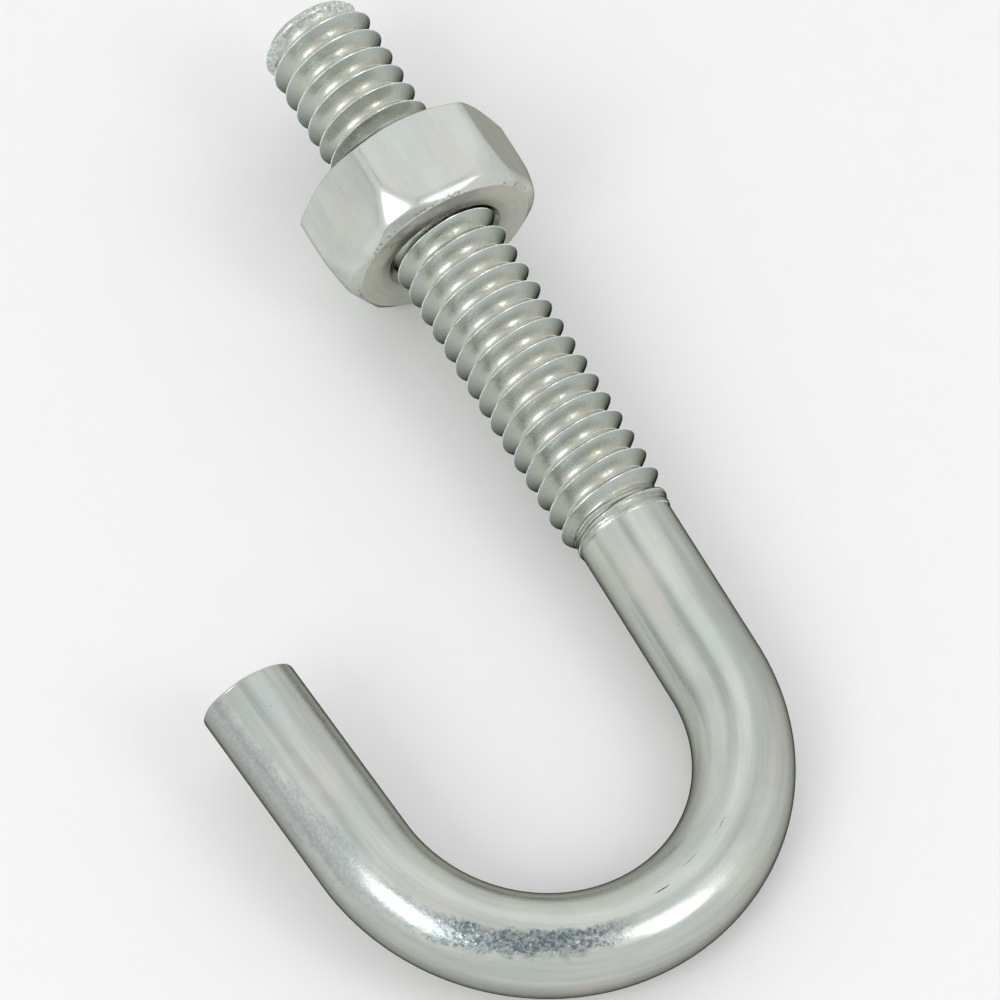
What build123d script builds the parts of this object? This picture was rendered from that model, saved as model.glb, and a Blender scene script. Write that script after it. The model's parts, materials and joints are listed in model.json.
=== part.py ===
from build123d import *
import math
import os

# J-bolt: one rod, rolled with a thread at one end and bent round into a hook at the
# other, carrying one hexagon nut.
# The thread axis is X. The middle of the free threaded end is the origin, +X points out
# of that end, the hook lies at -X and opens back along +X, on the +Y side of the shank.
# Z is up, square to the plane of the hook.

# Driving dimensions, millimetres and degrees

# thread, 1/4 inch by 20 to the inch, right-handed
thread_dia = 6.35
thread_pitch = 1.27
thread_length = 35.1
thread_lead_in = 0.75
thread_run_out = 2.2
crest_angle = 273.8

# rod and hook
rod_dia = 5.4
smooth_shank = 9.25
bend_radius = 10.85
bend_angle = 174.75
leg_length = 10.9
cut_edge = 0.15

# nut
nut_across_flats = 11.11
nut_thickness = 5.56
nut_face_dia = 10.4
nut_face_chamfer = 30.0
nut_countersink_dia = 6.95
nut_countersink_angle = 45.0
nut_bore_clearance = 0.05
nut_to_free_end = 12.58
nut_turn = 26.5

# overlap that buries one solid in the next one before they are joined
bury = 0.06

# turns of the helix that one face of the ridge follows
turns_per_face = 3

# Values that follow from the ones above

thread_radius = thread_dia / 2
rod_radius = rod_dia / 2
full_v_height = thread_pitch * math.sqrt(3) / 2
thread_depth = full_v_height * 5 / 8
root_radius = thread_radius - thread_depth
crest_half = thread_pitch / 16
flank_rise = math.tan(math.radians(30))
ridge_inner_radius = root_radius - bury
ridge_inner_half = crest_half + (thread_radius - ridge_inner_radius) * flank_rise
tip_radius = root_radius - 2 * bury
bend_start = thread_length + smooth_shank


def turned(points):
    """A solid turned about Z from (radius, height) points, which close on themselves."""
    outline = Polyline(*points, close=True)
    return revolve(Plane.XZ * make_face(outline), Axis.Z)


def ridge_lines(stretch):
    """The four corner helices of the ridge over one stretch of a few turns."""
    height = turns_per_face * thread_pitch
    start = stretch * height - thread_pitch
    corners = [
        (thread_radius, -crest_half),
        (thread_radius, crest_half),
        (ridge_inner_radius, ridge_inner_half),
        (ridge_inner_radius, -ridge_inner_half),
    ]
    return [
        Wire([Pos(0, 0, start + offset) * Helix(thread_pitch, height, radius)])
        for radius, offset in corners
    ]


def thread_ridge():
    """The raised helical ridge: flat crest, two flanks at 60 degrees, a buried foot."""
    turns = thread_length / thread_pitch + 2
    stretches = [ridge_lines(i) for i in range(math.ceil(turns / turns_per_face))]
    faces = [
        Face(Wire.make_polygon([line @ 0 for line in stretches[0]])),
        Face(Wire.make_polygon([line @ 1 for line in stretches[-1]])),
    ]
    for lines in stretches:
        for line, following in zip(lines, lines[1:] + lines[:1]):
            faces.append(Face.make_surface_from_curves(line, following))
    return Solid(Shell(faces))


def ridge_limits():
    """Turned body that trims the ridge: chamfered free end, tapered run-out."""
    clear_radius = thread_radius + bury
    taper_start = thread_length - thread_run_out
    buried_radius = ridge_inner_radius - bury
    return turned([
        (0, 0),
        (buried_radius, 0),
        (clear_radius, thread_lead_in),
        (clear_radius, taper_start),
        (buried_radius, thread_length),
        (0, thread_length),
    ])


def shank():
    """The turned core under the thread, running out into the plain rod."""
    core_end = thread_length - thread_run_out
    return turned([
        (0, 0),
        (tip_radius, 0),
        (root_radius, bury),
        (root_radius, core_end),
        (rod_radius, thread_length - thread_run_out / 3),
        (rod_radius, bend_start),
        (0, bend_start),
    ])


def hook():
    """The bend and the short plain leg, in the plane Z = 0."""
    section = Plane.YZ * Circle(rod_radius)
    bend = revolve(section, Axis((0, bend_radius, 0), (0, 0, -1)), bend_angle)
    turn = math.radians(bend_angle)
    leg_plane = Plane(
        origin=(-bend_radius * math.sin(turn), bend_radius * (1 - math.cos(turn)), 0),
        z_dir=(-math.cos(turn), math.sin(turn), 0),
    )
    leg = turned([
        (0, 0),
        (rod_radius, 0),
        (rod_radius, leg_length - cut_edge),
        (rod_radius - cut_edge, leg_length),
        (0, leg_length),
    ])
    return Pos(-bend_start, 0, 0) * (bend + leg_plane * leg)


def make_bolt():
    """The whole rod. Thread and shank are made upright, then laid along -X."""
    ridge = Part() + thread_ridge() & ridge_limits()
    threaded = Rot(0, 0, crest_angle) * (shank() + ridge)
    return Rot(0, -90, 0) * threaded + hook()


def make_nut():
    """Hexagon nut, chamfered and countersunk on both faces, one flat nearly level."""
    half = nut_thickness / 2
    corner_radius = nut_across_flats / math.sqrt(3)
    face_radius = nut_face_dia / 2
    fall = (corner_radius - face_radius) * math.tan(math.radians(nut_face_chamfer))
    blank = turned([
        (0, -half),
        (face_radius, -half),
        (corner_radius, fall - half),
        (corner_radius, half - fall),
        (face_radius, half),
        (0, half),
    ])
    hexagon = RegularPolygon(nut_across_flats / 2, 6, major_radius=False)
    prism = extrude(hexagon, half, both=True)
    bore_radius = thread_radius + nut_bore_clearance
    sink_radius = nut_countersink_dia / 2
    sink = (sink_radius - bore_radius) / math.tan(math.radians(nut_countersink_angle))
    bore = turned([
        (0, -half),
        (sink_radius, -half),
        (bore_radius, sink - half),
        (bore_radius, half - sink),
        (sink_radius, half),
        (0, half),
    ])
    nut = (prism & blank) - bore
    upright = Rot(0, 0, nut_turn) * nut
    return Pos(-nut_to_free_end, 0, 0) * Rot(0, 90, 0) * upright


os.makedirs("parts", exist_ok=True)
export_step(make_bolt(), "parts/j_bolt.step")
export_step(make_nut(), "parts/hex_nut.step")
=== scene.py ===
import json
import math

import bmesh
import bpy
from mathutils import Matrix, Vector, noise


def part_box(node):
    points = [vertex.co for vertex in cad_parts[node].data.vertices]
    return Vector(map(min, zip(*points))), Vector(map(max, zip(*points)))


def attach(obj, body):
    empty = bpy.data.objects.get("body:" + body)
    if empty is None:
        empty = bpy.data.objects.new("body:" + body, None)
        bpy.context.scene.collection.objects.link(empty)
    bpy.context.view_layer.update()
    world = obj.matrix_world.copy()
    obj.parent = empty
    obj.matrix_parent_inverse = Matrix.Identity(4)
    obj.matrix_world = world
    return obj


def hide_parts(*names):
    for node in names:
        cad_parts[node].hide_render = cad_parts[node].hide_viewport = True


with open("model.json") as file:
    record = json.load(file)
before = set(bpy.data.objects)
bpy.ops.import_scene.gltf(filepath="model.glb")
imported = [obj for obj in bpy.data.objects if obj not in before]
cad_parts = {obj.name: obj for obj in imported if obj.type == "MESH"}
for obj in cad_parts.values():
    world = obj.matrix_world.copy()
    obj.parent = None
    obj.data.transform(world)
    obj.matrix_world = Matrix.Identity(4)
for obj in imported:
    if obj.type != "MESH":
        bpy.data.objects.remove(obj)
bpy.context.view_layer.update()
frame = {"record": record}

# ---------------------------------------------------------------- sizes
# Metres, in the frame of the CAD: the thread's axis is X, its free end is the origin.

MM = 0.001
# keeps the rod's skin just inside the CAD model's box
SLACK = 0.0005 * MM


def mount(name):
    """One mount of the record, by its name."""
    for entry in frame["record"]["mounts"]:
        if entry["name"] == name:
            return entry
    raise KeyError(name)


THREAD = mount("threaded_end")["dims"]
LEG = mount("hook_leg")
SEAT = mount("hook_seat")

CREST = THREAD["r_mm"] * MM
THREAD_LENGTH = THREAD["length_mm"] * MM
ROD = LEG["dims"]["r_mm"] * MM - SLACK
CUT_EDGE = 0.15 * MM
LEG_AXIS = Vector(LEG["axis"])
LEG_LENGTH = LEG["dims"]["length_mm"] * MM + CUT_EDGE
BEND_CENTRE = Vector(SEAT["pos_m"])
BEND = BEND_CENTRE.y
BEND_ANGLE = math.pi - math.atan2(LEG_AXIS.y, LEG_AXIS.x)
SHANK_END = -BEND_CENTRE.x

# thread form: 20 turns to the inch, rolled, so its root and crest are rounded, and its
# ridge is pushed over a little towards the free end
PITCH = 1.27 * MM
CREST_START = math.radians(176.2)
SHARP_HEIGHT = PITCH * math.sqrt(3) / 2
ROOT = CREST - SHARP_HEIGHT * 5 / 8
RIDGE = 0.09
CREST_WIDTH = 0.02 * MM
CREST_SLOPE = math.radians(22)
HOOK_FLANK = math.radians(39)
FREE_FLANK = math.radians(20)
HOOK_EDGE_ROUND = 0.03 * MM
HOOK_ROOT_ROUND = 0.34 * MM
FREE_ROOT_ROUND = 0.12 * MM
CREST_RIPPLE = 0.010 * MM

# cone of the lead-in, with its dents, at the free end
LEAD_IN = 0.75 * MM
LEAD_IN_LIFT = 0.06 * MM
LEAD_IN_ROUND = 0.12 * MM
LEAD_IN_DENT = 0.05 * MM
TIP = 2.45 * MM

# run-out, where the thread fades into fine lines and a ledge that stands over the rod
RUN_OUT = 2.2 * MM
RUN_OUT_LINE = 0.020 * MM
RUN_OUT_LINE_STEP = 0.24 * MM
LEDGE = 0.09 * MM
LEDGE_WIDTH = 0.40 * MM
LEDGE_END = 0.09 * MM

# phases of the rows of mesh across one pitch, close together at the crest
ROWS = (-0.46, -0.42, -0.38, -0.34, -0.29, -0.23, -0.16, -0.09, -0.03, 0.01, 0.03, 0.045,
        0.058, 0.074, 0.084, RIDGE, 0.10, 0.13, 0.17, 0.22, 0.265, 0.30, 0.36, 0.43, 0.5)
AROUND = 104
RING_STEP = 0.42 * MM

# what is worn bright: a strip of these phases along the crest, which also carries the painted
# highlight along the crest, and this much of the tip
WORN_CREST_AND_HIGHLIGHT = (0.057, 0.101)
WORN_TIP = 1.0 * MM
WORN_RAG = 0.12 * MM

# sheared end of the leg: how far it slants, towards which side, and the rings of its rim,
# in millimetres back from the end and in from the side, with the roughness of each
CUT_SLANT = 0.27 * MM
CUT_SIDE = math.radians(205)
CUT_RIM = ((0.12, 0.0, 0.0), (0.05, 0.005, 0.4), (0.01, 0.012, 0.6), (0.0, 0.035, 0.6))

# both end faces: dished, wavy, and made of rings at these shares of the way out
LEG_DISH = 0.10 * MM
TIP_DISH = 0.12 * MM
FACE_WAVE = 0.03 * MM
FACE_RINGS = (0.97, 0.9, 0.78, 0.62, 0.45, 0.28, 0.12)

NUT_LOW, NUT_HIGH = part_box("hex_nut")
NUT_CENTRE = (NUT_LOW.x + NUT_HIGH.x) / 2
NUT_HALF = (NUT_HIGH.x - NUT_LOW.x) / 2
FLAT_DISTANCE = 11.11 / 2 * MM
FLAT_ANGLE = math.radians(26.5)
FACE_RADIUS = 5.2 * MM
FACE_CHAMFER = math.radians(30)
FACE_ROUND = 0.05 * MM
FACE_STEP = 0.03 * MM
SINK_RADIUS = 3.475 * MM
NUT_CLEARANCE = 0.05 * MM
NUT_MINOR = 2.58 * MM

# pressed bevels of the nut's face towards the hook, along its flats and across its corners
CORNER_ROUND = 0.28 * MM
CORNER_DISTANCE = FLAT_DISTANCE / math.cos(math.radians(30)) - 0.05 * MM
CORNER_BEVEL = 2.25 * MM
CORNER_TILT = math.radians(18)
CORNER_EASE = 0.7 * MM
CORNER_BLEND = 0.20 * MM
EDGE_BEVEL = 0.55 * MM
EDGE_TILT = math.radians(30)
EDGE_EASE = 0.26 * MM

NUT_COLUMNS = 288
BORE_ROWS = 72
# depths of the rows of mesh below the nut's face, millimetres
NUT_ROWS = (0.03, 0.05, 0.075, 0.10, 0.13, 0.17, 0.21, 0.26, 0.31, 0.36, 0.42, 0.47, 0.50,
            0.57, 0.63, 0.70, 0.78, 0.86, 0.95, 1.05, 1.15, 1.26, 1.38, 1.50, 1.62, 1.75,
            1.88, 2.00, 2.12, 2.20, 2.26, 2.4, 2.6)


# ---------------------------------------------------------------- small helpers

def smooth_min(a, b, width):
    """The lower of two values, with the corner between them rounded."""
    near = max(width - abs(a - b), 0) / width
    return min(a, b) - near * near * width / 4


def smooth_max(a, b, width):
    """The higher of two values, with the corner between them rounded."""
    return -smooth_min(-a, -b, width)


def ramp(value, start, end):
    """0 at start, 1 at end, eased in between."""
    t = min(max((value - start) / (end - start), 0), 1)
    return t * t * (3 - 2 * t)


def ripple(point, size, seed=0):
    """Smooth noise between -1 and 1, with features of about the size given."""
    return noise.noise(point / size + Vector((seed * 7.3, seed * 3.1, seed * 1.7)))


def on_crest(x, angle):
    """The place on the thread's outer cylinder, along and around the axis."""
    return Vector((x, CREST * math.cos(angle), CREST * math.sin(angle)))


# ---------------------------------------------------------------- thread surface

def thread_phase(x, angle):
    """Turns away from the nearest crest, positive towards the free end."""
    turns = (x - PITCH * (angle - CREST_START) / math.tau) / PITCH
    return turns - round(turns)


def thread_form(x, angle):
    """Radius of the endless rolled thread at a place along and around the axis.

    The crest is highest at its edge towards the free end, and falls away slowly towards
    the hook. The flank towards the hook slopes more and has a widely rounded root.
    """
    ahead = (thread_phase(x, angle) - RIDGE) * PITCH
    if ahead > 0:
        return smooth_max(CREST - ahead / math.tan(FREE_FLANK), ROOT, FREE_ROOT_ROUND)
    top = CREST + ahead * math.tan(CREST_SLOPE)
    flank = CREST + (ahead + CREST_WIDTH) / math.tan(HOOK_FLANK)
    return smooth_max(smooth_min(top, flank, HOOK_EDGE_ROUND), ROOT, HOOK_ROOT_ROUND)


def lead_in(radius, x, around):
    """The radius given, trimmed by the dented cone at the free end."""
    cone = TIP + (CREST - TIP) * min(-x / LEAD_IN, 1) + LEAD_IN_DENT * ripple(around, 0.7 * MM, 1)
    return smooth_min(radius, cone + LEAD_IN_LIFT, LEAD_IN_ROUND)


def run_out(radius, left, around):
    """The radius given, faded into the fine lines and the ledge at the thread's end."""
    fade = 1 - left / RUN_OUT
    top = CREST + (ROD + LEDGE - CREST) * ramp(fade, 0.15, 0.85)
    bottom = ROOT + (ROD - ROOT) * ramp(fade, 0.1, 0.8)
    radius = smooth_max(smooth_min(radius, top, 0.08 * MM), bottom, 0.06 * MM)
    wander = 2.5 * ripple(around, 1.6 * MM, 3)
    lines = math.sin(math.tau * left / RUN_OUT_LINE_STEP + wander)
    radius += RUN_OUT_LINE * lines * ramp(fade, 0.35, 0.6)
    step = ROD + LEDGE * (0.75 + 0.35 * lines) + 0.02 * MM * ripple(around, 1.3 * MM, 2)
    radius = radius + (step - radius) * ramp(LEDGE_WIDTH - left, -0.15 * MM, 0.05 * MM)
    return radius + (ROD - radius) * ramp(LEDGE_END - left, -0.06 * MM, 0.06 * MM)


def bolt_radius(x, angle):
    """Radius of the threaded end: lead-in, rolled thread, run-out and small ledge."""
    around = on_crest(x, angle)
    radius = thread_form(x, angle)
    radius += CREST_RIPPLE * ripple(around, 0.9 * MM) * (radius - ROOT) / (CREST - ROOT)
    if -x < LEAD_IN * 1.6:
        radius = lead_in(radius, x, around)
    left = THREAD_LENGTH + x
    if left < RUN_OUT:
        radius = run_out(radius, left, around)
    return min(radius, CREST)


# ---------------------------------------------------------------- mesh builder

class Skin:
    """Collects the vertices and faces of one piece, with its own rod coordinates.

    The finish marks on each vertex of the bolt are: depth in a valley of the thread,
    roughness of an end, and turns away from the nearest crest.
    """

    def __init__(self):
        self.points = []
        self.rod = []
        self.kind = []
        self.faces = []
        self.face_material = []
        self.material = 0

    def add(self, point, rod, kind):
        """One vertex: place, place along and across the rod, and finish marks."""
        self.points.append(point)
        self.rod.append(rod)
        self.kind.append(kind)
        return len(self.points) - 1

    def face(self, *corners):
        """One face, with repeated corners dropped."""
        kept = []
        for corner in corners:
            if corner not in kept:
                kept.append(corner)
        if len(kept) > 2:
            self.faces.append(kept)
            self.face_material.append(self.material)

    def band(self, ring, following):
        """Faces between two closed rings of the same length."""
        count = len(ring)
        for i in range(count):
            j = (i + 1) % count
            self.face(ring[i], ring[j], following[j], following[i])

    def make(self, name, *materials):
        """The finished object."""
        mesh = bpy.data.meshes.new(name)
        mesh.from_pydata(self.points, [], self.faces)
        mesh.polygons.foreach_set("material_index", self.face_material)
        work = bmesh.new()
        work.from_mesh(mesh)
        bmesh.ops.recalc_face_normals(work, faces=work.faces)
        work.to_mesh(mesh)
        work.free()
        for label, values in (("rod", self.rod), ("finish", self.kind)):
            layer = mesh.attributes.new(label, "FLOAT_VECTOR", "POINT")
            layer.data.foreach_set("vector", [v for entry in values for v in entry])
        mesh.shade_smooth()
        for material in materials:
            mesh.materials.append(material)
        piece = bpy.data.objects.new(name, mesh)
        bpy.context.scene.collection.objects.link(piece)
        return piece


# ---------------------------------------------------------------- bolt

# the order of the bolt's materials
THREAD_FINISH, ROD_FINISH, WORN_AND_HIGHLIGHT_FINISH = range(3)


def thread_point(skin, x, angle):
    """One vertex of the threaded surface."""
    radius = bolt_radius(x, angle)
    side = (radius * math.cos(angle), radius * math.sin(angle))
    valley = 1 - (radius - ROOT) / (CREST - ROOT)
    left = THREAD_LENGTH + x
    rough = max(ramp(-x, 1.6 * MM, 0.2 * MM), 0.8 * ramp(left, 1.9 * MM, 0.9 * MM))
    return skin.add((x, *side), (-x, *side), (valley, rough, thread_phase(x, angle)))


def thread_skin(skin):
    """The threaded end as rows that follow the helix. Returns its first and last ring."""
    first = math.floor(-THREAD_LENGTH / PITCH) - 2
    last = 2
    rows = [(turn + phase) * PITCH for turn in range(first, last) for phase in ROWS]
    angles = [CREST_START + math.tau * j / AROUND for j in range(AROUND)]
    tip = []
    end = []
    for angle in angles:
        for ring, x, radius, rough in ((tip, 0.0, bolt_radius(0.0, angle), 1.0),
                                       (end, -THREAD_LENGTH, ROD, 0.6)):
            side = (radius * math.cos(angle), radius * math.sin(angle))
            ring.append(skin.add((x, *side), (-x, *side), (0.0, rough, 0.0)))
    near_end = 0.02 * MM
    grid = []
    for j, angle in enumerate(angles):
        column = []
        for base in rows:
            x = base + PITCH * j / AROUND
            if x >= -near_end:
                column.append(tip[j])
            elif x <= -THREAD_LENGTH + near_end:
                column.append(end[j])
            else:
                column.append(thread_point(skin, x, angle))
        grid.append(column)
    per_turn = len(ROWS)
    low, high = WORN_CREST_AND_HIGHLIGHT
    for j, angle in enumerate(angles):
        near = grid[j]
        far = grid[(j + 1) % AROUND]
        shift = per_turn if j == AROUND - 1 else 0
        for k in range(len(rows) - per_turn - 1):
            x = rows[k] + PITCH * j / AROUND
            crest = low < ROWS[k % per_turn] and ROWS[(k + 1) % per_turn] < high
            rag = WORN_RAG * ripple(on_crest(x, angle), 0.5 * MM, 8)
            # the crest strip takes the worn finish, which also carries the crest's painted
            # highlight
            worn = crest or x > rag - WORN_TIP
            skin.material = WORN_AND_HIGHLIGHT_FINISH if worn else THREAD_FINISH
            skin.face(near[k], near[k + 1], far[k + 1 + shift], far[k + shift])
    return tip, end


def cut_slope(angle):
    """How far the sheared end leans back at each place round the leg, about 0 to -1."""
    lean = math.cos(angle - CUT_SIDE)
    wave = 0.08 * ripple(Vector((math.cos(angle), math.sin(angle), 0)), 0.35, 4)
    return -0.5 + 0.5 * lean - 0.08 + wave


def rod_ring(skin, along, radius=ROD, slant=0.0, rough=0.0):
    """A ring of the plain rod at a distance along its centre line from the free end."""
    turn = min(max((along - SHANK_END) / BEND, 0), BEND_ANGLE)
    inward = Vector((math.sin(turn), math.cos(turn), 0))
    forward = Vector((-math.cos(turn), math.sin(turn), 0))
    centre = BEND_CENTRE - inward * BEND
    centre.x -= min(along - SHANK_END, 0)
    centre += forward * max(along - SHANK_END - BEND * BEND_ANGLE, 0)
    ring = []
    for j in range(AROUND):
        angle = CREST_START + math.tau * j / AROUND
        across = radius * math.cos(angle)
        up = radius * math.sin(angle)
        shear = slant * cut_slope(angle)
        spot = centre + inward * across + Vector((0, 0, up)) + forward * shear
        ring.append(skin.add(spot, (along + shear, across, up), (0.0, rough, 0.0)))
    return ring


def cap(skin, rim, normal, dish, seed):
    """A sheared end face: rings of vertices with the marks of the cut."""
    middle = Vector()
    for corner in rim:
        middle += Vector(skin.points[corner]) / len(rim)
    along = skin.rod[rim[0]][0]
    previous = rim
    for share in FACE_RINGS:
        ring = []
        for corner in rim:
            spot = middle.lerp(Vector(skin.points[corner]), share)
            rod = Vector(skin.rod[corner]) * share
            drop = dish * (1 - share * share)
            drop += FACE_WAVE * (1 + ripple(spot, 0.8 * MM, seed))
            ring.append(skin.add(spot - normal * drop, (along, rod.y, rod.z), (0.0, 1.0, 0.0)))
        skin.band(previous, ring)
        previous = ring
    bottom = middle - normal * (dish + FACE_WAVE)
    centre = skin.add(bottom, (along, 0, 0), (0.0, 1.0, 0.0))
    for i, corner in enumerate(previous):
        skin.face(corner, previous[(i + 1) % len(previous)], centre)


def make_bolt(*finishes):
    """Threaded end, plain shank, bend and leg as one skin."""
    skin = Skin()
    tip, ring = thread_skin(skin)
    skin.material = ROD_FINISH
    leg_start = SHANK_END + BEND * BEND_ANGLE
    leg_end = leg_start + LEG_LENGTH
    count = round((leg_end - THREAD_LENGTH) / RING_STEP)
    plain = leg_end - THREAD_LENGTH - 0.6 * MM
    stations = [THREAD_LENGTH + 0.04 * MM, THREAD_LENGTH + 0.12 * MM]
    stations += [THREAD_LENGTH + plain * i / (count - 1) for i in range(1, count)]
    rings = [rod_ring(skin, along) for along in stations]
    rings += [rod_ring(skin, leg_end - back * MM, ROD - inset * MM, CUT_SLANT, rough)
              for back, inset, rough in CUT_RIM]
    for following in rings:
        skin.band(ring, following)
        ring = following
    cap(skin, ring, LEG_AXIS, LEG_DISH, 5)
    skin.material = WORN_AND_HIGHLIGHT_FINISH
    cap(skin, list(reversed(tip)), Vector((1, 0, 0)), TIP_DISH, 6)
    return skin.make("bolt_skin", *finishes)


# ---------------------------------------------------------------- nut

def nut_radius(angle, depth, pressed):
    """Distance from the axis to the nut's outside, at a depth below its face.

    Both faces have the cone of the chamfer. The one that faces the hook was pressed too:
    it has a narrow bevel along each flat and a bevel across each corner.
    """
    step = math.tau / 6
    turn = (angle - FLAT_ANGLE) % step
    edge = smooth_max(EDGE_BEVEL - depth, 0, EDGE_EASE) if pressed else 0
    across = smooth_max(CORNER_BEVEL - depth, 0, CORNER_EASE) if pressed else 0
    flat = FLAT_DISTANCE - edge * math.tan(EDGE_TILT)
    side = smooth_min(flat / math.cos(turn), flat / math.cos(step - turn), CORNER_ROUND)
    corner = CORNER_DISTANCE - across * math.tan(CORNER_TILT)
    side = smooth_min(side, corner / math.cos((turn - step / 2) * 0.5), CORNER_BLEND)
    cone = FACE_RADIUS + (depth - FACE_STEP) / math.tan(FACE_CHAMFER)
    return smooth_min(side, cone, FACE_ROUND)


def nut_outline(angle):
    """The outer outline of the nut at one angle, as (radius, place along the axis)."""
    flat_face = (SINK_RADIUS, (SINK_RADIUS + FACE_RADIUS) / 2, FACE_RADIUS - 0.10 * MM,
                 FACE_RADIUS - 0.02 * MM)
    free = [Vector((radius, NUT_HALF)) for radius in flat_face]
    hook = [Vector((radius, -NUT_HALF)) for radius in flat_face]
    for row in NUT_ROWS:
        depth = row * MM
        free.append(Vector((nut_radius(angle, depth, False), NUT_HALF - depth)))
        hook.append(Vector((nut_radius(angle, depth, True), depth - NUT_HALF)))
    return free + list(reversed(hook))


def bore_outline(angle):
    """The threaded bore and its two countersinks at one angle."""
    path = []
    for i in range(1, BORE_ROWS):
        x = -NUT_HALF + 2 * NUT_HALF * i / BORE_ROWS
        sink = SINK_RADIUS - (NUT_HALF - abs(x))
        form = max(thread_form(NUT_CENTRE + x, angle) + NUT_CLEARANCE, NUT_MINOR)
        path.append(Vector((max(form, sink), x)))
    return path


def make_nut(material):
    """Hexagon nut with chamfers, bearing faces, countersinks and its own thread.

    Its finish marks are: inside the bore, roughness, and the bearing face.
    """
    skin = Skin()
    columns = []
    for i in range(NUT_COLUMNS):
        angle = FLAT_ANGLE + math.tau * i / NUT_COLUMNS
        column = []
        for radius, x in nut_outline(angle) + bore_outline(angle):
            spot = (NUT_CENTRE + x, radius * math.cos(angle), radius * math.sin(angle))
            inside = 1.0 if radius < SINK_RADIUS - 0.01 * MM else 0.0
            bearing = 1.0 if abs(x) > NUT_HALF - 0.01 * MM else 0.0
            column.append(skin.add(spot, spot, (inside, 0.0, bearing)))
        columns.append(column)
    for i, column in enumerate(columns):
        skin.band(column, columns[(i + 1) % NUT_COLUMNS])
    return skin.make("nut_skin", material)


# ---------------------------------------------------------------- materials

# dark scuffs: centre (along, across, up) and size in millimetres, and strength
SCUFFS = (
    ((60.3, 0.30, 2.68), (0.60, 0.055, 0.3), 1.0),
    ((57.9, 0.66, 2.62), (0.9, 0.06, 0.3), 0.35),
    ((55.2, 0.50, 2.65), (0.8, 0.09, 0.3), 0.35),
)
# radius of the pitted rim round the nut's bearing face, millimetres
PITTED_RIM = 5.27


def tint(level, red, green, blue):
    """A colour, raised to make up for what a film over it takes away."""
    return (min(red * level, 1), min(green * level, 1), min(blue * level, 1), 1)


def grey(value, green=1.0, blue=1.0):
    """A colour close to grey."""
    return tint(value, 1, green, blue)


class Nodes:
    """Short names for building one node tree."""

    def __init__(self, owner):
        owner.use_nodes = True
        self.tree = owner.node_tree
        self.tree.nodes.clear()

    def new(self, kind, inputs=None, **settings):
        """A node, its settings, and its inputs as values or links."""
        node = self.tree.nodes.new(kind)
        for key, value in settings.items():
            setattr(node, key, value)
        for key, value in (inputs or {}).items():
            if isinstance(value, bpy.types.NodeSocket):
                self.tree.links.new(value, node.inputs[key])
            else:
                node.inputs[key].default_value = value
        return node

    def math(self, operation, *values):
        """A Math node's result."""
        return self.new("ShaderNodeMath", dict(enumerate(values)), operation=operation).outputs[0]

    def times(self, a, b):
        """Two values multiplied."""
        return self.math("MULTIPLY", a, b)

    def vector(self, operation, *values):
        """A Vector Math node."""
        return self.new("ShaderNodeVectorMath", dict(enumerate(values)), operation=operation)

    def dot(self, vector, direction):
        """How far a vector points along a fixed direction."""
        return self.vector("DOT_PRODUCT", vector, direction).outputs["Value"]

    def length(self, vector):
        """A vector's length."""
        return self.vector("LENGTH", vector).outputs["Value"]

    def split(self, vector):
        """A vector's three parts."""
        return self.new("ShaderNodeSeparateXYZ", {"Vector": vector}).outputs

    def join(self, *parts):
        """A vector from its three parts."""
        return self.new("ShaderNodeCombineXYZ", dict(enumerate(parts))).outputs[0]

    def noise(self, vector, scale, detail=3.0, roughness=0.55):
        """A noise texture's value."""
        inputs = {"Vector": vector, "Scale": scale, "Detail": detail, "Roughness": roughness}
        return self.new("ShaderNodeTexNoise", inputs).outputs["Fac"]

    def stretch(self, vector, scale, location=(0, 0, 0)):
        """The same coordinates, scaled and moved."""
        inputs = {"Vector": vector, "Location": location, "Scale": scale}
        return self.new("ShaderNodeMapping", inputs).outputs[0]

    def spots(self, vector, scale, location, outer, inner):
        """Small round spots, scattered evenly."""
        moved = self.stretch(vector, (1, 1, 1), location)
        cells = self.new("ShaderNodeTexVoronoi", {"Vector": moved, "Scale": scale})
        return self.step(cells.outputs["Distance"], outer, inner)

    def step(self, value, low, high, start=0.0, end=1.0):
        """A smooth step from start to end, as the value goes from low to high."""
        inputs = {"Value": value, "From Min": low, "From Max": high,
                  "To Min": start, "To Max": end}
        return self.new("ShaderNodeMapRange", inputs, interpolation_type="SMOOTHSTEP").outputs[0]

    def mix(self, share, a, b):
        """Two colours mixed."""
        return self.new("ShaderNodeMix", {0: share, 6: a, 7: b}, data_type="RGBA").outputs[2]


class Finish(Nodes):
    """One finish as it builds up: colour, height, roughness and how metallic it is.

    Places are millimetres along the rod from its free end, across it and up.
    """

    def __init__(self, material, level):
        super().__init__(material)
        self.level = level
        rod = self.new("ShaderNodeAttribute", attribute_name="rod").outputs["Vector"]
        marks = self.new("ShaderNodeAttribute", attribute_name="finish").outputs["Vector"]
        self.place = self.stretch(rod, (1 / MM, 1 / MM, 1 / MM))
        self.marks = self.split(marks)
        self.dark = grey(0.46 * level, 1.09, 1.07)
        self.colour = grey(0.605 * level, 1.07, 1.02)
        self.height = 0.0
        self.roughness = 0.0
        self.metallic = 1.0

    def paint(self, share, colour):
        """Lay a colour over what is there."""
        self.colour = self.mix(share, self.colour, colour)

    def lift(self, value, amount):
        """Raise the surface."""
        self.height = self.math("ADD", self.height, self.times(value, amount))

    def roughen(self, value, amount):
        """Make the surface less glossy."""
        self.roughness = self.math("ADD", self.roughness, self.times(value, amount))


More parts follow.
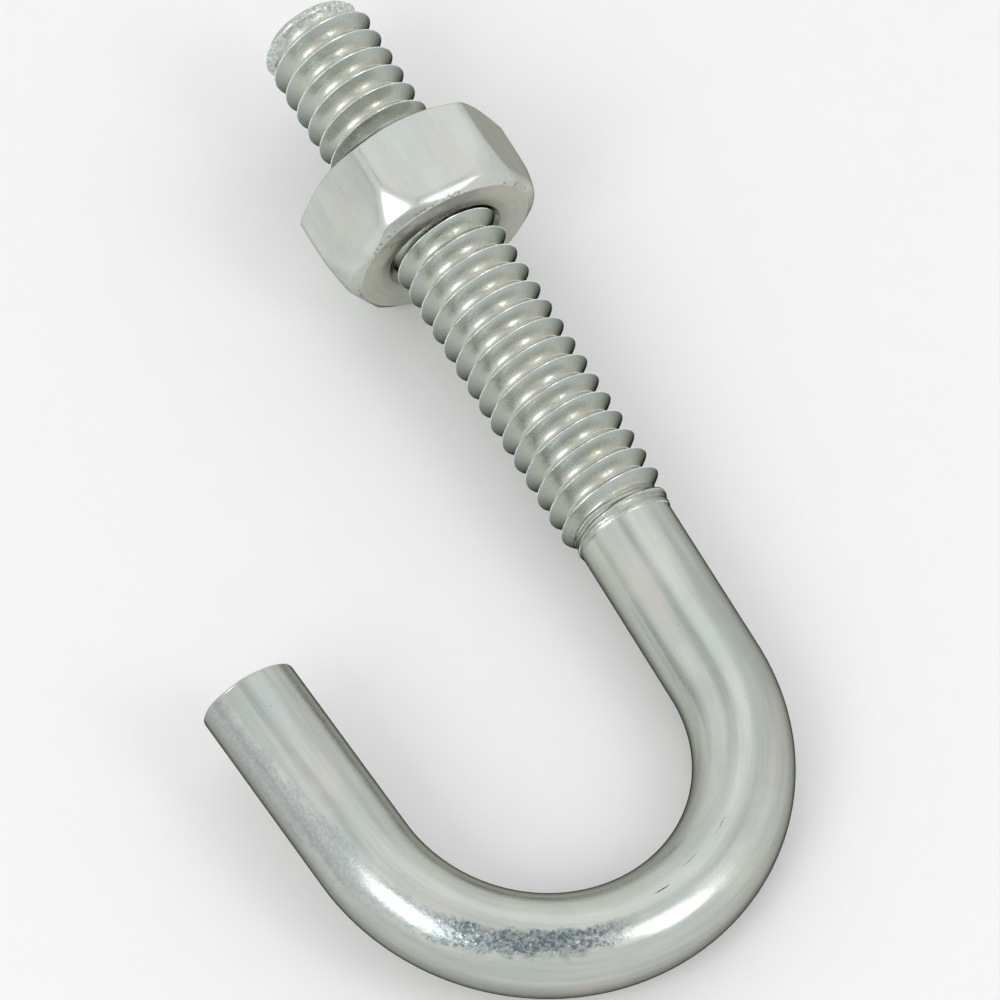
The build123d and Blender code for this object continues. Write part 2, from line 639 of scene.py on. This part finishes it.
def plating(n, along_scale, contrast):
    """The plated metal: clouds, drawn bands and streaks, drifts of hue, and pale specks."""
    place = n.place
    clouds = n.noise(place, 0.35, 4.0)
    bands = n.noise(n.stretch(place, (along_scale * 0.5, 0.75, 0.75)), 1.0, 3.0, 0.6)
    streaks = n.noise(n.stretch(place, (along_scale, 2.2, 2.2)), 1.0, 4.0, 0.6)
    fine = n.noise(n.stretch(place, (along_scale * 3, 8.0, 8.0)), 1.0, 3.0, 0.6)
    grain = n.noise(place, 9.0, 4.0, 0.7)
    hue = n.noise(n.stretch(place, (0.35, 1.0, 1.0), (4, 9, 2)), 0.55, 2.0)
    n.paint(n.step(clouds, 0.35, 0.65), grey(0.655 * n.level, 1.06, 1.01))
    n.paint(n.step(bands, 0.42, 0.64, 0.0, 0.8 * contrast), n.dark)
    n.paint(n.step(streaks, 0.45, 0.70, 0.0, 0.4 * contrast), n.dark)
    n.paint(n.step(hue, 0.54, 0.72, 0.0, 0.5), tint(n.level, 0.66, 0.62, 0.60))
    n.paint(n.step(hue, 0.46, 0.30, 0.0, 0.5), tint(n.level, 0.53, 0.61, 0.62))
    n.height = n.times(fine, 0.35)
    n.lift(grain, 0.35)
    n.lift(n.noise(place, 2.5, 3.0), 1.4)
    n.roughness = n.math("ADD", n.step(clouds, 0.3, 0.7, 0.19, 0.28),
                         n.step(fine, 0.3, 0.7, -0.03, 0.05))


def flecks(n):
    """Small dark flecks, which come in groups. Returns where they are."""
    fleck = n.spots(n.place, 1.7, (0, 0, 0), 0.10, 0.04)
    fleck = n.times(fleck, n.step(n.noise(n.place, 0.8, 2.0), 0.50, 0.60))
    n.paint(n.times(fleck, 0.6), grey(0.20 * n.level, 1.0, 0.95))
    speck = n.spots(n.place, 2.0, (3, 5, 8), 0.09, 0.04)
    n.paint(n.times(speck, 0.8), grey(0.98))
    return fleck


def thread_marks(n, residue_and_crest_highlight):
    """The rolled thread: lines drawn along it, a painted highlight along the crests, and cream
    deposits in the valleys.
    """
    valley, _, phase = n.marks
    place = n.place
    _, across, up = n.split(n.stretch(place, (1.6, 1.6, 1.6)))
    drawn = n.noise(n.join(n.times(phase, 14.0), across, up), 1.0, 4.0, 0.7)
    n.paint(n.step(drawn, 0.52, 0.74, 0.0, 0.22), n.dark)
    n.paint(n.step(drawn, 0.44, 0.28, 0.0, 0.4), grey(0.74 * n.level, 1.04))
    n.height = n.times(n.height, 0.5)
    n.lift(drawn, 3.2)
    n.paint(n.step(valley, 0.35, 0.80, 0.0, 0.5), tint(n.level, 0.67, 0.65, 0.565))
    n.paint(n.step(valley, 0.55, 0.15, 0.0, 0.45), tint(n.level, 0.55, 0.635, 0.635))

    # painted highlight: a thin white line along the crest, made less rough and broken up by noise
    edge = n.math("ABSOLUTE", n.math("SUBTRACT", phase, RIDGE - 0.010))
    ridge = n.times(n.step(edge, 0.040, 0.024), n.step(valley, 0.4, 0.1))
    broken = n.step(n.noise(place, 2.2, 3.0, 0.7), 0.38, 0.54, 0.15, 1.0)
    ridge = n.times(ridge, n.times(broken, residue_and_crest_highlight))
    n.paint(ridge, grey(1.0))
    n.roughen(ridge, -0.08)

    muck = n.times(n.step(valley, 0.45, 0.85),
                   n.step(n.noise(place, 1.5, 5.0, 0.75), 0.44, 0.66))
    one_side = n.step(n.dot(place, (0.0, -0.42, 0.91)), 0.9, 2.4, 0.15, 1.0)
    muck = n.times(muck, n.times(one_side, residue_and_crest_highlight))
    n.paint(n.times(muck, 0.9), tint(n.level, 0.62, 0.59, 0.48))
    n.roughen(muck, 0.25)
    n.metallic = n.math("SUBTRACT", 1.0, n.times(muck, 0.5))


def tool_marks(n):
    """The bending tool's trail of pits along the outside of the bend and leg, with painted glints
    among them, and scuffs.
    """
    place = n.place
    along, across, up = n.split(place)
    wander = n.math("MULTIPLY_ADD", n.noise(place, 0.35, 2.0), 0.9, -0.45)
    line = n.math("MULTIPLY_ADD", n.math("SUBTRACT", along, 66.5), -0.0780, -0.98)
    offset = n.math("ADD", n.math("SUBTRACT", across, line), wander)
    ragged = n.math("MULTIPLY_ADD", n.noise(place, 2.0, 3.0, 0.6), 0.9, -0.45)
    away = n.math("ABSOLUTE", n.math("ADD", offset, ragged))
    trail = n.times(n.step(away, 0.75, 0.38), n.step(up, 0.2, 0.8))
    trail = n.times(trail, n.step(along, 61.6, 64.6))
    heavy = n.times(trail, n.step(along, 73.5, 70.5))
    light = n.times(trail, n.step(along, 70.0, 73.0, 0.0, 0.40))
    both = n.math("ADD", heavy, light)
    pits = n.step(n.noise(place, 4.5, 3.0, 0.75), 0.40, 0.60, 0.45, 1.0)
    n.paint(n.times(both, pits), tint(n.level, 0.13, 0.18, 0.21))
    n.paint(n.times(light, 0.5), tint(n.level, 0.60, 0.63, 0.72))
    # painted glints: small white spots among the pits
    painted_glints = n.step(n.noise(place, 5.5, 2.0, 0.5), 0.62, 0.68)
    n.paint(n.times(painted_glints, both), grey(1.0))
    n.lift(n.times(both, n.noise(place, 6.0, 3.0, 0.7)), 6.0)
    n.roughen(heavy, 0.06)
    for centre, size, strength in SCUFFS:
        moved = n.vector("SUBTRACT", place, centre).outputs[0]
        reach = n.length(n.stretch(moved, tuple(1 / s for s in size)))
        reach = n.math("ADD", reach, n.times(n.noise(place, 7.0, 3.0, 0.8), 3.0))
        scuff = n.step(reach, 2.35, 1.85, 0.0, strength)
        n.paint(scuff, tint(n.level, 0.10, 0.11, 0.10))
        n.lift(scuff, -2.0)


def bearing_marks(n):
    """The nut's worn bearing faces, with turned rings, a pitted rim, and the bore painted darker.
    """
    inside, _, face = n.marks
    place = n.place
    radius = n.length(n.vector("MULTIPLY", place, (0, 1, 1)).outputs[0])
    rings = n.new("ShaderNodeTexNoise", {"W": radius, "Scale": 3.5, "Detail": 3.0},
                  noise_dimensions="1D").outputs["Fac"]
    rings = n.times(rings, face)
    n.lift(rings, 3.0)
    blots = n.step(n.noise(place, 1.2, 4.0, 0.7), 0.36, 0.62, 1.0, 0.3)
    worn = n.times(face, blots)
    n.paint(worn, tint(n.level, 0.68, 0.66, 0.59))
    n.paint(n.step(rings, 0.48, 0.66, 0.0, 0.2), n.dark)
    pits = n.step(n.noise(place, 4.5, 3.0, 0.8), 0.50, 0.58, 0.0, 0.75)
    pits = n.times(pits, n.step(n.noise(place, 0.45, 1.0), 0.46, 0.56))
    rim = n.math("ABSOLUTE", n.math("SUBTRACT", radius, PITTED_RIM))
    n.paint(n.times(n.step(rim, 0.16, 0.05), pits), tint(n.level, 0.20, 0.22, 0.20))
    n.roughness = n.math("ADD", n.roughness, 0.06)
    n.roughen(face, 0.10)
    # the inside of the bore is painted darker
    n.paint(n.times(inside, 0.4), tint(n.level, 0.50, 0.50, 0.44))
    n.metallic = n.math("SUBTRACT", 1.0, n.times(worn, 0.65))


def rough_ends(n):
    """Fine grooves round the rough ends of the thread, painted darker, and bright spots on them,
    partly torn metal and partly painted glints.
    """
    rough_end = n.marks[1]
    place = n.place
    along, across, up = n.split(place)
    round_scale = n.step(along, 4.0, 25.0, 3.5, 0.5)
    lines = n.join(n.times(along, 5.5), n.times(across, round_scale), n.times(up, round_scale))
    lines = n.noise(lines, 1.0, 3.0, 0.6)
    # the grooves are painted darker where the bump lowers the surface
    groove = n.times(rough_end, n.step(lines, 0.54, 0.42, 0.0, 0.75))
    n.paint(groove, grey(0.40 * n.level, 1.04, 1.0))
    # painted glints: white spots, partly bright torn metal
    torn_metal_and_painted_glint = n.times(n.step(n.noise(place, 4.5, 2.0, 0.6), 0.50, 0.62), 0.8)
    n.paint(n.times(rough_end, torn_metal_and_painted_glint), grey(1.0))
    n.roughen(rough_end, 0.06)
    coarse = n.math("ADD", n.times(lines, 16.0), n.times(n.noise(place, 4.0, 3.0, 0.7), 12.0))
    n.lift(coarse, rough_end)


def zinc(name, film, bright, edge_tint, along_scale, contrast=1.0, residue_and_crest_highlight=0.0,
         trail=False, bearing=False):
    """Zinc plating under a clear film.

    Film is the film's colour, bright how pale the zinc looks through it, edge tint the
    share of glare that is left at a grazing angle, along scale the streaks' scale along
    the rod. Residue and crest highlight, trail and bearing add the marks of the thread with
    its deposits and its painted crest highlight, of the bending tool and of the nut's faces.
    """
    material = bpy.data.materials.new(name)
    n = Finish(material, bright / film[1])
    plating(n, along_scale, contrast)
    fleck = flecks(n)
    if residue_and_crest_highlight:
        thread_marks(n, residue_and_crest_highlight)
    if trail:
        tool_marks(n)
    if bearing:
        bearing_marks(n)
    rough_ends(n)
    n.lift(fleck, -0.8)
    bump = n.new("ShaderNodeBump", {"Height": n.height, "Distance": 0.003 * MM, "Strength": 0.8})
    shader = n.new("ShaderNodeBsdfPrincipled", {
        "Base Color": n.colour,
        "Metallic": n.metallic,
        "Roughness": n.roughness,
        "Normal": bump.outputs[0],
        "Specular Tint": (edge_tint, edge_tint, edge_tint, 1),
        "Coat Weight": 1.0,
        "Coat IOR": 1.0,
        "Coat Tint": (*film, 1),
    })
    n.new("ShaderNodeOutputMaterial", {"Surface": shader.outputs[0]})
    return material


# ---------------------------------------------------------------- stage, light, camera

TARGET = Vector((-0.030366, 0.005105, 0.0))
CAMERA = Vector((-0.14870, 0.10802, 0.27697))
ROLL = math.radians(-13.04)
LENS = 216
SENSOR = 36

# the room's brightness, and its two dim places: a gap between the lamps, to the right of
# the camera, and a round patch that lies this far from the line of sight and round it
ROOM = 0.86
DIM_SHARE = 0.62
GAP_SIDE = 0.24
GAP_HALF = 0.13
PATCH_AWAY = 44
PATCH_TURN = 115
PATCH_REACH = math.radians(15)
PATCH_DEPTH = 0.75
# darkening towards the room's far left
FAR_LEFT = 0.25

# radii of the floor's rings: it is solid up to FLOOR_SOLID and fades out before its rim
FLOOR_SOLID = 0.062
FLOOR_REACH = 0.10
FLOOR_RINGS = (0.0, 0.01, 0.02, 0.03, 0.04, 0.05, 0.06, 0.07, 0.08, FLOOR_REACH)
FLOOR_SIDES = 48


def camera_axes():
    """The camera's right, up and backward directions."""
    forward = (TARGET - CAMERA).normalized()
    right = forward.cross(Vector((0, 0, 1))).normalized()
    up = right.cross(forward)
    return (right * math.cos(ROLL) - up * math.sin(ROLL),
            up * math.cos(ROLL) + right * math.sin(ROLL), -forward)


def add_camera():
    """The camera, at the photograph's angle."""
    data = bpy.data.cameras.new("camera")
    data.lens = LENS
    data.sensor_width = SENSOR
    data.clip_start = 0.01
    camera = bpy.data.objects.new("camera", data)
    camera.matrix_world = (Matrix.Translation(CAMERA)
                           @ Matrix(camera_axes()).transposed().to_4x4())
    bpy.context.scene.collection.objects.link(camera)
    bpy.context.scene.camera = camera


def lamp_direction(away, turn):
    """A fixed direction, by its angles from the photograph's line of sight and round it."""
    right, up, back = camera_axes()
    tilt, around = math.radians(away), math.radians(turn)
    side = right * math.cos(around) + up * math.sin(around)
    return back * math.cos(tilt) + side * math.sin(tilt)


def softbox(name, away, turn, distance, size, brightness, shape=1.0):
    """A soft lamp of one brightness, facing the bolt."""
    direction = lamp_direction(away, turn)
    data = bpy.data.lights.new(name, "AREA")
    data.shape = "RECTANGLE"
    data.size = size
    data.size_y = size * shape
    data.energy = brightness * math.pi * size * size * shape
    lamp = bpy.data.objects.new(name, data)
    lamp.location = TARGET + direction * distance
    lamp.rotation_euler = direction.to_track_quat("Z", "Y").to_euler()
    bpy.context.scene.collection.objects.link(lamp)


def dim_gap(n, sky):
    """Where in the room the dim gap between its lamps is."""
    right, up, back = camera_axes()
    height = n.dot(sky, up)
    offset = n.math("ABSOLUTE", n.math("SUBTRACT", n.dot(sky, right), GAP_SIDE))
    gap = n.step(offset, GAP_HALF * 1.5, GAP_HALF * 0.4)
    gap = n.times(gap, n.step(height, -0.40, -0.10))
    gap = n.times(gap, n.step(height, 0.85, 0.45))
    return n.times(gap, n.step(n.dot(sky, back), 0.1, 0.4))


def add_light():
    """Plain soft studio light: a pale room with two dim places, and three soft lamps."""
    world = bpy.data.worlds.new("studio")
    bpy.context.scene.world = world
    n = Nodes(world)
    sky = n.new("ShaderNodeTexCoord").outputs["Generated"]
    towards_patch = n.dot(sky, lamp_direction(PATCH_AWAY, PATCH_TURN))
    patch = n.step(towards_patch, math.cos(PATCH_REACH), math.cos(PATCH_REACH / 2),
                   0.0, PATCH_DEPTH)
    dim = n.math("MAXIMUM", dim_gap(n, sky), patch)
    room = n.mix(dim, grey(ROOM), grey(ROOM * DIM_SHARE, 1.02, 1.03))
    far_left = n.step(n.dot(sky, camera_axes()[0]), -0.93, -0.99, 0.0, FAR_LEFT)
    room = n.mix(far_left, room, grey(0.0))
    background = n.new("ShaderNodeBackground", {"Color": room, "Strength": 1.0})
    n.new("ShaderNodeOutputWorld", {"Surface": background.outputs[0]})
    softbox("lamp_left", 28, 197, 0.6, 0.27, 3.0)
    softbox("lamp_right", 41, 8, 0.6, 0.17, 2.4, 1.5)
    softbox("lamp_top", 56, 84, 0.6, 0.42, 0.14)


def bend_spots():
    """Places on the underside of the bend."""
    spots = []
    for i in range(61):
        turn = BEND_ANGLE * i / 60
        inward = Vector((math.sin(turn), math.cos(turn), 0))
        centre = BEND_CENTRE - inward * BEND
        for k in range(-8, 9):
            tilt = math.radians(4 * k)
            spots.append(centre + ROD * (inward * math.sin(tilt) - Vector((0, 0, math.cos(tilt)))))
    return spots


def resting_plane():
    """A point of the plane that the bolt lies on, and the direction down through it.

    The plane holds the lowest flat of the nut, at its edge towards the hook, and tilts
    along the thread until the bend touches it too.
    """
    lowest = FLAT_ANGLE + math.radians(240)
    edge = NUT_CENTRE - NUT_HALF + (FLAT_DISTANCE - FACE_RADIUS) * math.tan(FACE_CHAMFER)
    down = flat = Vector((0, math.cos(lowest), math.sin(lowest)))
    along = Vector((1, 0, 0))
    anchor = Vector((edge, 0, 0)) + flat * FLAT_DISTANCE
    spots = bend_spots()
    for _ in range(40):
        touch = max(spots, key=lambda spot: (spot - anchor).dot(down))
        gap = (touch - anchor).dot(down)
        down = (down + along * gap / (anchor.x - touch.x)).normalized()
    return anchor, down


def floor_paper():
    """Pale grey paper that fades out before the floor's rim."""
    material = bpy.data.materials.new("floor_paper")
    n = Nodes(material)
    spot = n.new("ShaderNodeTexCoord").outputs["Object"]
    paper = n.mix(n.noise(n.stretch(spot, (1 / MM, 1 / MM, 1 / MM)), 0.5), grey(0.90), grey(0.92))
    shader = n.new("ShaderNodeBsdfDiffuse", {"Color": paper})
    clear = n.new("ShaderNodeBsdfTransparent")
    faded = n.step(n.length(spot), FLOOR_SOLID, FLOOR_REACH - 0.002)
    sheet = n.new("ShaderNodeMixShader", {0: faded, 1: shader.outputs[0], 2: clear.outputs[0]})
    n.new("ShaderNodeOutputMaterial", {"Surface": sheet.outputs[0]})
    return material


def add_floor():
    """A pale floor under the bolt as it lies, on one flat of the nut and on its bend."""
    anchor, down = resting_plane()
    place = down.to_track_quat("-Z", "Y").to_matrix().to_4x4()
    centre = TARGET + down * (anchor - TARGET).dot(down)
    turns = [math.tau * j / FLOOR_SIDES for j in range(FLOOR_SIDES)]
    corners = [Vector((r * math.cos(turn), r * math.sin(turn), 0))
               for r in FLOOR_RINGS for turn in turns]
    faces = []
    for i in range(len(FLOOR_RINGS) - 1):
        for j in range(FLOOR_SIDES):
            near = FLOOR_SIDES * i
            far = near + FLOOR_SIDES
            following = (j + 1) % FLOOR_SIDES
            faces.append((near + j, near + following, far + following, far + j))
    mesh = bpy.data.meshes.new("floor")
    mesh.from_pydata([place @ corner + centre for corner in corners], [], faces)
    mesh.materials.append(floor_paper())
    floor = bpy.data.objects.new("floor", mesh)
    bpy.context.scene.collection.objects.link(floor)


# ---------------------------------------------------------------- the piece

thread_zinc = zinc("zinc_thread", (0.607, 0.620, 0.592), bright=0.94, edge_tint=0.9,
                   along_scale=0.6, contrast=0.15, residue_and_crest_highlight=0.9)
rod_zinc = zinc("zinc_rod", (0.724, 0.720, 0.696), bright=1.03, edge_tint=0.85,
                along_scale=0.08, trail=True)
# worn zinc of the tip and of the crest strip; on the crest it carries the painted highlight
worn_and_highlight_zinc = zinc("zinc_worn_and_highlight", (0.945, 0.960, 0.945), bright=1.00, edge_tint=1.0,
                 along_scale=0.6, contrast=0.3, residue_and_crest_highlight=0.9)
bolt = make_bolt(thread_zinc, rod_zinc, worn_and_highlight_zinc)
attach(bolt, "bolt")
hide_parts("j_bolt")

nut_zinc = zinc("zinc_nut", (0.875, 0.871, 0.852), bright=1.03, edge_tint=1.0,
                along_scale=0.3, contrast=0.3, bearing=True)
nut = make_nut(nut_zinc)
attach(nut, "nut")
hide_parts("hex_nut")

add_camera()
add_light()
add_floor()
bpy.context.scene.view_settings.view_transform = "Standard"
